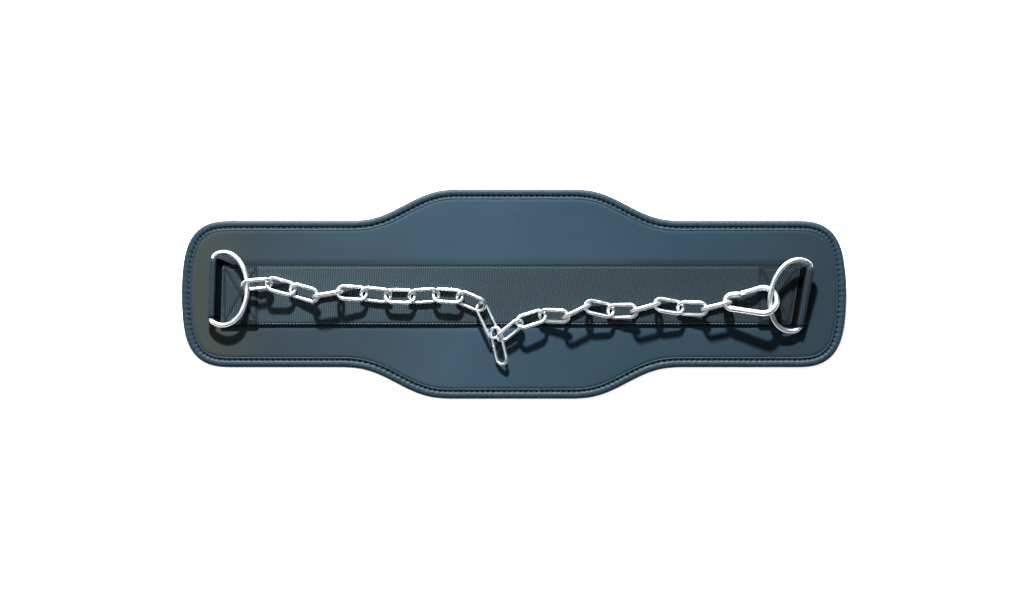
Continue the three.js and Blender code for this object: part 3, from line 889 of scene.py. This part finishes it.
BAR_STEPS, BEND_STEPS, ARC_STEPS = 8, 10, 48
bar_half = RING_HALF - RING_BEND[1]
arc_radii = (RING_DEPTH - RING_BEND[0], RING_HALF)
ring_line = [
    *[(0, -bar_half + 2 * bar_half * k / BAR_STEPS) for k in range(BAR_STEPS)],
    *arc_points((RING_BEND[0], bar_half), RING_BEND, 180, 90, BEND_STEPS),
    *arc_points((RING_BEND[0], 0), arc_radii, 90, -90, ARC_STEPS)[1:],
    *arc_points((RING_BEND[0], -bar_half), RING_BEND, -90, -180, BEND_STEPS)[1:-1],
]
ring_places = {}
for side, inward_x in (("left", 1), ("right", -1)):
    points, centre, long, wide = own_axes(f"d_ring_{side}")
    depth = wide if wide.x * inward_x > 0 else -wide
    height = long if long.y > 0 else -long
    reach = [Vector(p).dot(depth) for p in points]
    heights = [Vector(p).dot(height) for p in points]
    origin = centre + depth * (min(reach) + RING_WIRE / 2 * MM - centre.dot(depth))
    origin += height * ((min(heights) + max(heights)) / 2 - centre.dot(height))
    ring_places[side] = wire_frame(origin, depth, height)
    bent_wire(f"ring_{side}", ring_line, RING_WIRE / 2, ring_places[side], [f"d_ring_{side}"])

# %% [markdown]
# ## Chain links
# Cut wire is bent round a former and its ends are butt-welded in the middle of one long side, which
# leaves a small collar there. Every third link is laid with its collar on the other side.

# %% Links
LINK = {"length": 32.8, "width": 17.6, "wire": 3.6}
LONG_LINK = {"length": 40.5, "width": 14.3, "wire": 3.0}
WELD_HALF = 0.9
WELD_SWELL = (1.04, 1.09)  # where the collar starts, and along it
CROWN_STEPS = 14
PLATING = 0.08


def link_line(length, width, wire):
    """The link's centre line, and the swelling of the weld on one side."""
    radius = (width - wire) / 2
    reach = (length - wire) / 2 - radius
    seam = [(-reach, -radius), (-2 * WELD_HALF, -radius), (-WELD_HALF, -radius), (-0.3, -radius)]
    seam += [(-x, y) for x, y in seam[::-1]]
    line = seam + arc_points((reach, 0), (radius, radius), -90, 90, CROWN_STEPS)[1:]
    line += arc_points((-reach, 0), (radius, radius), 90, 270, CROWN_STEPS)[:-1]
    swell = [1, 1, *WELD_SWELL, *WELD_SWELL[::-1]]
    return line, swell + [1] * (len(line) - len(swell))


link_nodes = sorted(n for n in nodes if n.startswith(("chain_link", "long_link")))
for number, node in enumerate(link_nodes):
    size = LONG_LINK if node.startswith("long_link") else LINK
    _, centre, long, wide = own_axes(node)
    flip = 1 if number % 3 else -1
    line, swell = link_line(**size)
    name = node.replace("chain_link", "link").replace("long_link", "slim_link")
    place = wire_frame(centre, long, wide * flip)
    radius = size["wire"] / 2 + PLATING
    bent_wire(name, line, radius, place, [node], swellings=swell)

# %% [markdown]
# ## The spring hook
# The hook is 6 mm wire bent to a pear. Its arm ends in two cheeks that hold the gate on a rivet. The
# gate is a shorter rod whose tongue turns between the cheeks, sprung from inside, and its free end
# closes on the nose. The frame's hinge gives the pivot and the way out of the hook's plane.

# %% Hook frame
HOOK_WIRE = 6.0
NARROW, WIDE, CENTRES = 7.7, 13.8, 29.8
PIVOT = Vector((6.0, NARROW))
NOSE_TURN = 17.0
TAPER = math.degrees(math.asin((WIDE - NARROW) / CENTRES))
nose_angle = math.radians(90 + NOSE_TURN)
nose = Vector((CENTRES + WIDE * math.cos(nose_angle), WIDE * math.sin(nose_angle)))
gate_line = nose - PIVOT
gate_angle = math.atan2(gate_line.y, gate_line.x)

hinge = next(j for j in frame["record"]["behaviour"]["joints"] if j["name"] == "gate_hinge")
pivot_place = Vector(hinge["pos_m"])
out_of_plane = -Vector(hinge["axis"]).normalized()
_, gate_centre, gate_long, _ = own_axes("carabiner_gate")
gate_way = gate_long if gate_long.dot(gate_centre - pivot_place) > 0 else -gate_long
hook_along = Matrix.Rotation(-gate_angle, 3, out_of_plane) @ gate_way
hook_along = (hook_along - out_of_plane * hook_along.dot(out_of_plane)).normalized()
hook_aside = out_of_plane.cross(hook_along)
hook_origin = pivot_place - (hook_along * PIVOT.x + hook_aside * PIVOT.y) * MM
hook_place = wire_frame(hook_origin, hook_along, hook_aside)
print("hook origin mm", [round(c / MM, 1) for c in hook_origin])

# %% Hook body
CHEEK_REACH = 2.4
SLOT = 2.6
EYE_SWELL = 1.07  # the eye is forged a little thicker, down to a step in the lower bar
BAR_SHARES = (0.12, 0.15, 0.5)
EYE_STEPS, BOW_STEPS = 26, 44
eye = [
    (PIVOT.x + CHEEK_REACH, NARROW),
    (PIVOT.x, NARROW),
    (PIVOT.x / 2, NARROW),
    *arc_points((0, 0), (NARROW, NARROW), 90, 270 - TAPER, EYE_STEPS),
]
bow = arc_points((CENTRES, 0), (WIDE, WIDE), -90 - TAPER, 90 + NOSE_TURN, BOW_STEPS)
bar = [Vector(eye[-1]).lerp(Vector(bow[0]), share) for share in BAR_SHARES]
hook_line = eye + [tuple(point) for point in bar] + bow
hook_swell = [EYE_SWELL] * (len(eye) + 1) + [1.0] * (len(bow) + 2)
hook = bent_wire(
    "hook_body",
    hook_line,
    HOOK_WIRE / 2,
    hook_place,
    ["carabiner_body"],
    closed=False,
    swellings=hook_swell,
)


def cut_away(piece, cutter_shape):
    """Cuts a closed shape out of a piece."""
    mesh = bpy.data.meshes.new("cutter")
    cutter_shape.to_mesh(mesh)
    cutter_shape.free()
    cutter = bpy.data.objects.new("cutter", mesh)
    bpy.context.scene.collection.objects.link(cutter)
    cut = piece.modifiers.new("cut", "BOOLEAN")
    cut.object = cutter
    cut.solver = "EXACT"
    finished = piece.evaluated_get(bpy.context.evaluated_depsgraph_get())
    done = bpy.data.meshes.new_from_object(finished)
    piece.modifiers.remove(cut)
    piece.data.clear_geometry()
    shape = bmesh.new()
    shape.from_mesh(done)
    shape.to_mesh(piece.data)
    shape.free()
    bpy.data.objects.remove(cutter)
    bpy.data.meshes.remove(mesh)
    bpy.data.meshes.remove(done)


SLOT_START = PIVOT.x - 2.8
SLOT_LENGTH, SLOT_DEPTH = 12, 9  # past the cheeks' ends and through the wire
slot_shape = bmesh.new()
bmesh.ops.create_cube(slot_shape, size=1)
bmesh.ops.scale(slot_shape, vec=(SLOT_LENGTH, SLOT_DEPTH, SLOT), verts=slot_shape.verts)
slot_middle = (SLOT_START + SLOT_LENGTH / 2, NARROW, 0)
bmesh.ops.translate(slot_shape, vec=slot_middle, verts=slot_shape.verts)
bmesh.ops.scale(slot_shape, vec=(MM, MM, MM), verts=slot_shape.verts)
bmesh.ops.transform(slot_shape, matrix=hook_place, verts=slot_shape.verts)
cut_away(hook, slot_shape)

# %% Gate and rivet
GATE_WIRE = 5.4
GATE_GAP = 0.3
TONGUE = 2.0
HEEL = 2.2
HEEL_FACETS = 24
TONGUE_BEVEL = 0.25
pivot_matrix = hook_place @ Matrix.Translation((PIVOT.x * MM, PIVOT.y * MM, 0))
gate_place = pivot_matrix @ Matrix.Rotation(gate_angle, 4, "Z")
rod_start = HOOK_WIRE / 2 + CHEEK_REACH
rod_end = gate_line.length - GATE_GAP
# how far along the rod, and its radius there: both ends are rounded over
gate_rod = [
    (rod_start, 0.8),
    (rod_start + 0.5, 0.95),
    (rod_start + 1.2, 1),
    (rod_end - 0.9, 1),
    (rod_end - 0.3, 0.95),
    (rod_end, 0.85),
]
bent_wire(
    "hook_gate",
    [(along, 0) for along, _ in gate_rod],
    GATE_WIRE / 2,
    gate_place,
    ["carabiner_gate"],
    closed=False,
    swellings=[swell for _, swell in gate_rod],
    body="gate",
)


def build_tongue():
    """The flat tongue with its round heel, between the cheeks."""
    shape = bmesh.new()
    made = bmesh.ops.create_circle(shape, cap_ends=True, segments=HEEL_FACETS, radius=HEEL * MM)
    for v in made["verts"]:
        if v.co.x > 0:
            v.co.x += (rod_start + 1) * MM
    lifted = bmesh.ops.extrude_face_region(shape, geom=list(shape.faces))["geom"]
    raised = [g for g in lifted if isinstance(g, bmesh.types.BMVert)]
    bmesh.ops.translate(shape, vec=(0, 0, TONGUE * MM), verts=raised)
    bmesh.ops.translate(shape, vec=(0, 0, -TONGUE / 2 * MM), verts=shape.verts)
    rims = [e for e in shape.edges if abs(e.verts[0].co.z - e.verts[1].co.z) < 1e-6]
    bmesh.ops.bevel(
        shape,
        geom=rims,
        offset=TONGUE_BEVEL * MM,
        offset_type="OFFSET",
        segments=2,
        profile=0.5,
        affect="EDGES",
        material=-1,
    )
    bmesh.ops.transform(shape, matrix=gate_place, verts=shape.verts)
    return shape


finish_piece("gate_tongue", build_tongue(), zinc, body="gate")
SHANK = {"radius1": 0.85 * MM, "radius2": 0.85 * MM, "depth": 7 * MM}
HEAD = {"radius": 1.55, "height": 3.05, "flatness": 0.42}
RIVET_FACETS = 20


def build_rivet():
    """A shank with a low domed head on each side."""
    shape = bmesh.new()
    bmesh.ops.create_cone(shape, cap_ends=True, segments=RIVET_FACETS, **SHANK)
    for face in (1, -1):
        dome = bmesh.ops.create_uvsphere(
            shape, u_segments=RIVET_FACETS, v_segments=RIVET_FACETS // 2, radius=HEAD["radius"] * MM
        )["verts"]
        bmesh.ops.scale(shape, vec=(1, 1, HEAD["flatness"]), verts=dome)
        bmesh.ops.translate(shape, vec=(0, 0, face * HEAD["height"] * MM), verts=dome)
    bmesh.ops.transform(shape, matrix=pivot_matrix, verts=shape.verts)
    return shape


finish_piece("hook_rivet", build_rivet(), zinc, stands_for=["carabiner_rivet"])

# %% [markdown]
# ## Ring tabs
# A short piece of the same webbing goes round each bar, and its two legs are sewn in under the end of
# the strap. The tab's middle line is drawn once in the side view, repeated across the width where the
# bar is at each place, and given its thickness.

# %% Tabs
TAB_THICKNESS = 1.0
TAB_HALF = 30.0
TAB_LEG = 36.0
TAB_GAP = 0.3
TAB_ROWS = 16
TURN_START = 4
CROWN_REACH = 1.2
CROWN_FADE = 2.5
# painted shade on each tab: the turn round the outside of the bar keeps this share of its colour
CROWN_LIT_SHARE = 0.72
LEG_LEAD = 12
TURN_STEPS = 18
# the fall behind the bar: how far past the turn, and the share of the height still to fall
TAB_FALL = ((0.2, 0.55), (0.6, 0.2), (1.4, 0.03))


def tab_line(bar_height, legs_from, legs_end):
    """The tab's middle line: distance from the bar, and height above the pad."""
    turn = RING_WIRE / 2 + TAB_GAP + TAB_THICKNESS / 2
    low = TAB_GAP + TAB_THICKNESS / 2
    high = low + TAB_THICKNESS + TAB_GAP
    line = [(legs_end, low), (legs_from + LEG_LEAD, low), (legs_from, low)]
    line.append((0.5 * legs_from, min(bar_height - turn, low + 1)))
    round_bar = arc_points((0, 0), (turn, turn), 270, 5, TURN_STEPS)
    line += [(x, bar_height + z) for x, z in round_bar]
    line += [(turn + past, high + share * (bar_height - high)) for past, share in TAB_FALL]
    return line + [(legs_from, high), (legs_from + LEG_LEAD, high), (legs_end, high)]


def build_tab(side):
    """Rows of the tab's line across its width, joined and thickened."""
    ring_place = ring_places[side]
    middle, bar = ring_place.translation / MM, ring_place.to_3x3() @ Vector((0, 1, 0))
    end = STRAP_ENDS[0] if side == "left" else STRAP_ENDS[1]
    toward = 1 if side == "left" else -1
    legs_from = abs(middle.x - end) - 1

    def row(share):
        """One line across the fold: each point's place, and its run along and across the webbing."""
        across = share * TAB_HALF
        bar_x = middle.x + across * bar.x / bar.y
        bar_height = middle.z + across * bar.z / bar.y - PAD_TOP
        line = tab_line(bar_height, legs_from, abs(bar_x - end) + TAB_LEG)
        reached, places = 0.0, []
        for k, (x, z) in enumerate(line):
            reached += math.dist(line[k - 1], line[k]) if k else 0.0
            seat = eased((x - RING_WIRE) / (legs_from + 8 - RING_WIRE))
            y = middle.y + (STRAP_Y - middle.y) * seat + across
            place = Vector((bar_x + toward * x, y, PAD_TOP + z)) * MM
            # painted shade: the turn round the outside of the bar is a little darkened, and from the
            # bar's inner side on the tab is painted black, the shade of the slot beside the bar
            lit_share = CROWN_LIT_SHARE * (1 - eased((x - CROWN_REACH) / CROWN_FADE))
            places.append((place, reached, lit_share))
        start = places[TURN_START][1]
        return [(place, (run - start, across, lit_share)) for place, run, lit_share in places]

    rows = [row(2 * k / TAB_ROWS - 1) for k in range(TAB_ROWS + 1)]
    shape, corners_of_grid = grid(len(rows[0]) - 1, TAB_ROWS)
    flat = {}
    for v, (step, across_step) in corners_of_grid:
        v.co, flat[v] = rows[across_step][step]
    weave_maps(shape, flat)
    bmesh.ops.recalc_face_normals(shape, faces=shape.faces)
    bmesh.ops.solidify(shape, geom=list(shape.faces), thickness=TAB_THICKNESS * MM)
    return shape


for side in ring_places:
    finish_piece(
        f"tab_{side}", build_tab(side), webbing, stands_for=[f"ring_tab_{side}"]
    )

# %% [markdown]
# ## Stitches
# A lockstitch shows as a row of short threads, each dipping in at both ends. One small rounded thread
# is made from a few faces and copied along each seam: round the binding, along both edges of the
# strap, and in a box with a cross at each end where the tab is sewn in.


# %% Stitching
def one_stitch(length, thickness):
    """The mesh of one short rounded thread lying along X."""
    shape = bmesh.new()
    bmesh.ops.create_uvsphere(shape, u_segments=8, v_segments=6, radius=0.5 * MM)
    bmesh.ops.rotate(shape, matrix=Matrix.Rotation(math.pi / 2, 3, "Y"), verts=shape.verts)
    bmesh.ops.scale(shape, vec=(length, thickness, thickness * 0.8), verts=shape.verts)
    mesh = bpy.data.meshes.new("one_stitch")
    shape.to_mesh(mesh)
    shape.free()
    return mesh


def stitch_row(shape, places, length, thickness):
    """Adds a stitch at each (place, direction), lying along it."""
    thread = one_stitch(length, thickness)
    for place, way in places:
        laid = thread.copy()
        turn = Matrix.Rotation(math.atan2(way[1], way[0]), 4, "Z")
        laid.transform(Matrix.Translation(Vector(place) * MM) @ turn)
        shape.from_mesh(laid)
        bpy.data.meshes.remove(laid)
    bpy.data.meshes.remove(thread)


def line_stitches(start, end, pitch, height_at):
    """Evenly spaced stitches on a straight seam."""
    run = Vector(end) - Vector(start)
    count = max(2, round(run.length / pitch))
    found = []
    for k in range(count):
        p = Vector(start) + run * (k + 0.5) / count
        found.append(((p.x, p.y, height_at(p.x, p.y)), (run.x, run.y)))
    return found


SEAM_DEPTH = 2.75
BINDING_STITCH = {"length": 3.5, "thickness": 0.8}
EDGE_STITCH = {"length": 2.7, "thickness": 0.62}
BOX_STITCH = {"length": 2.9, "thickness": 1.0}
seam_places = []
for k in range(stitch_count):
    i = k * STEPS_PER_STITCH + STEPS_PER_STITCH // 2
    at = (outline[i] + outline_inward[i] * SEAM_INSET * MM) / MM
    seam_places.append((at, outline[(i + 1) % len(outline)] - outline[i - 1]))
for face, height in (("top", MIDDLE + SEAM_DEPTH), ("under", MIDDLE - SEAM_DEPTH)):
    seam_row = bmesh.new()
    stitch_row(seam_row, [((at.x, at.y, height), way) for at, way in seam_places], **BINDING_STITCH)
    finish_piece(f"binding_stitches_{face}", seam_row, slate_thread)


def on_strap(x, y):
    """The height of a thread that lies on the strap."""
    return strap_height(x, y - STRAP_Y) + 0.02


STRAP_STITCH = 3.4
dark_rows = bmesh.new()
pale_row = bmesh.new()
first_x, last_x = STRAP_ENDS[0] + 2, STRAP_ENDS[1] - 4
edge_runs = (
    (dark_rows, EDGE_SEAM, first_x, last_x),
    (dark_rows, -EDGE_SEAM, first_x, PATCH_RUN[0]),
    (pale_row, -EDGE_SEAM, PATCH_RUN[0], PATCH_RUN[1]),
    (dark_rows, -EDGE_SEAM, PATCH_RUN[1], last_x),
)
for row_shape, side_y, start_x, end_x in edge_runs:
    y = STRAP_Y + side_y
    seam = line_stitches((start_x, y), (end_x, y), STRAP_STITCH, on_strap)
    stitch_row(row_shape, seam, **EDGE_STITCH)
for start, end in BOX_SEAMS:
    low_end, high_end = ((p.x, p.y + STRAP_Y) for p in (start, end))
    seam = line_stitches(low_end, high_end, STRAP_STITCH, on_strap)
    stitch_row(dark_rows, seam, **BOX_STITCH)
finish_piece("strap_stitches_dark", dark_rows, dark_thread)
finish_piece("strap_stitches_pale", pale_row, pale_thread)

# %% [markdown]
# ## Floor, light and camera
# The belt lies on a white sheet, which glows faintly so that it stays white in the shade. A soft box
# stands about 30 degrees high beyond the belt's upper edge and rakes across the face, so everything that
# stands proud throws a shadow towards the viewer's side. A wide panel overhead fills the shadows and
# gives the metal something white to mirror, and a weak lamp on the left lifts the greyer end. The camera
# looks straight down from 2.6 m.

# %% Floor
FLOOR_HALF = 4
FLOOR_GLOW = 0.75
floor_mesh = bpy.data.meshes.new("white_sheet")
floor_shape = bmesh.new()
bmesh.ops.create_grid(floor_shape, x_segments=1, y_segments=1, size=FLOOR_HALF)
floor_shape.to_mesh(floor_mesh)
floor_shape.free()
floor = bpy.data.objects.new("white_sheet", floor_mesh)
bpy.context.scene.collection.objects.link(floor)
sheet = new_material("white_paper")
sheet_place = add_node(sheet, "ShaderNodeTexCoord").outputs["Object"]
fibre = add_node(sheet, "ShaderNodeTexNoise", {"Vector": sheet_place, "Scale": 60, "Detail": 3})
paper_tone = mixed(sheet, fibre.outputs["Fac"], linear("f4f4f4"), linear("fafafa"))
paper = {
    "Base Color": paper_tone,
    "Roughness": 0.9,
    "Specular IOR Level": 0.1,
    "Emission Color": linear("ffffff"),
    "Emission Strength": FLOOR_GLOW,
}
finish_material(sheet, paper)
floor_mesh.materials.append(sheet)


# %% Light
def area_light(name, place, target, size, power):
    """A rectangular light that faces a point."""
    light = bpy.data.lights.new(name, "AREA")
    light.shape = "RECTANGLE"
    light.size, light.size_y = size
    light.energy = power
    lamp = bpy.data.objects.new(name, light)
    lamp.location = place
    lamp.rotation_euler = (Vector(target) - Vector(place)).to_track_quat("-Z", "Y").to_euler()
    bpy.context.scene.collection.objects.link(lamp)


area_light("raking_light", (-0.3, 3.1, 1.8), (0, 0, 0), (0.34, 0.2), 720)
area_light("overhead_panel", (-0.3, 0.35, 3.1), (0, 0, 0), (3.4, 2.8), 32)
area_light("left_fill", (-1.2, 0.15, 0.8), (-0.1, 0, 0), (0.6, 0.9), 4)
world = bpy.context.scene.world or bpy.data.worlds.new("surround")
bpy.context.scene.world = world
world.use_nodes = True
surround = world.node_tree
surround.nodes.clear()
sky = surround.nodes.new("ShaderNodeBackground")
sky.inputs["Color"].default_value = (0.93, 0.97, 1.0, 1)
sky.inputs["Strength"].default_value = 0.06
surround.links.new(sky.outputs[0], surround.nodes.new("ShaderNodeOutputWorld").inputs["Surface"])

# %% Camera
CAMERA_HEIGHT = 2.6
FRAME_WIDTH = 1.024
SENSOR = 36
camera_data = bpy.data.cameras.new("overhead_camera")
camera_data.sensor_width = SENSOR
camera_data.lens = SENSOR * CAMERA_HEIGHT / FRAME_WIDTH
camera = bpy.data.objects.new("overhead_camera", camera_data)
camera.location = (-0.002, -0.0035, CAMERA_HEIGHT + PAD_TOP * MM)
bpy.context.scene.collection.objects.link(camera)
bpy.context.scene.camera = camera
bpy.context.scene.view_settings.view_transform = "Standard"
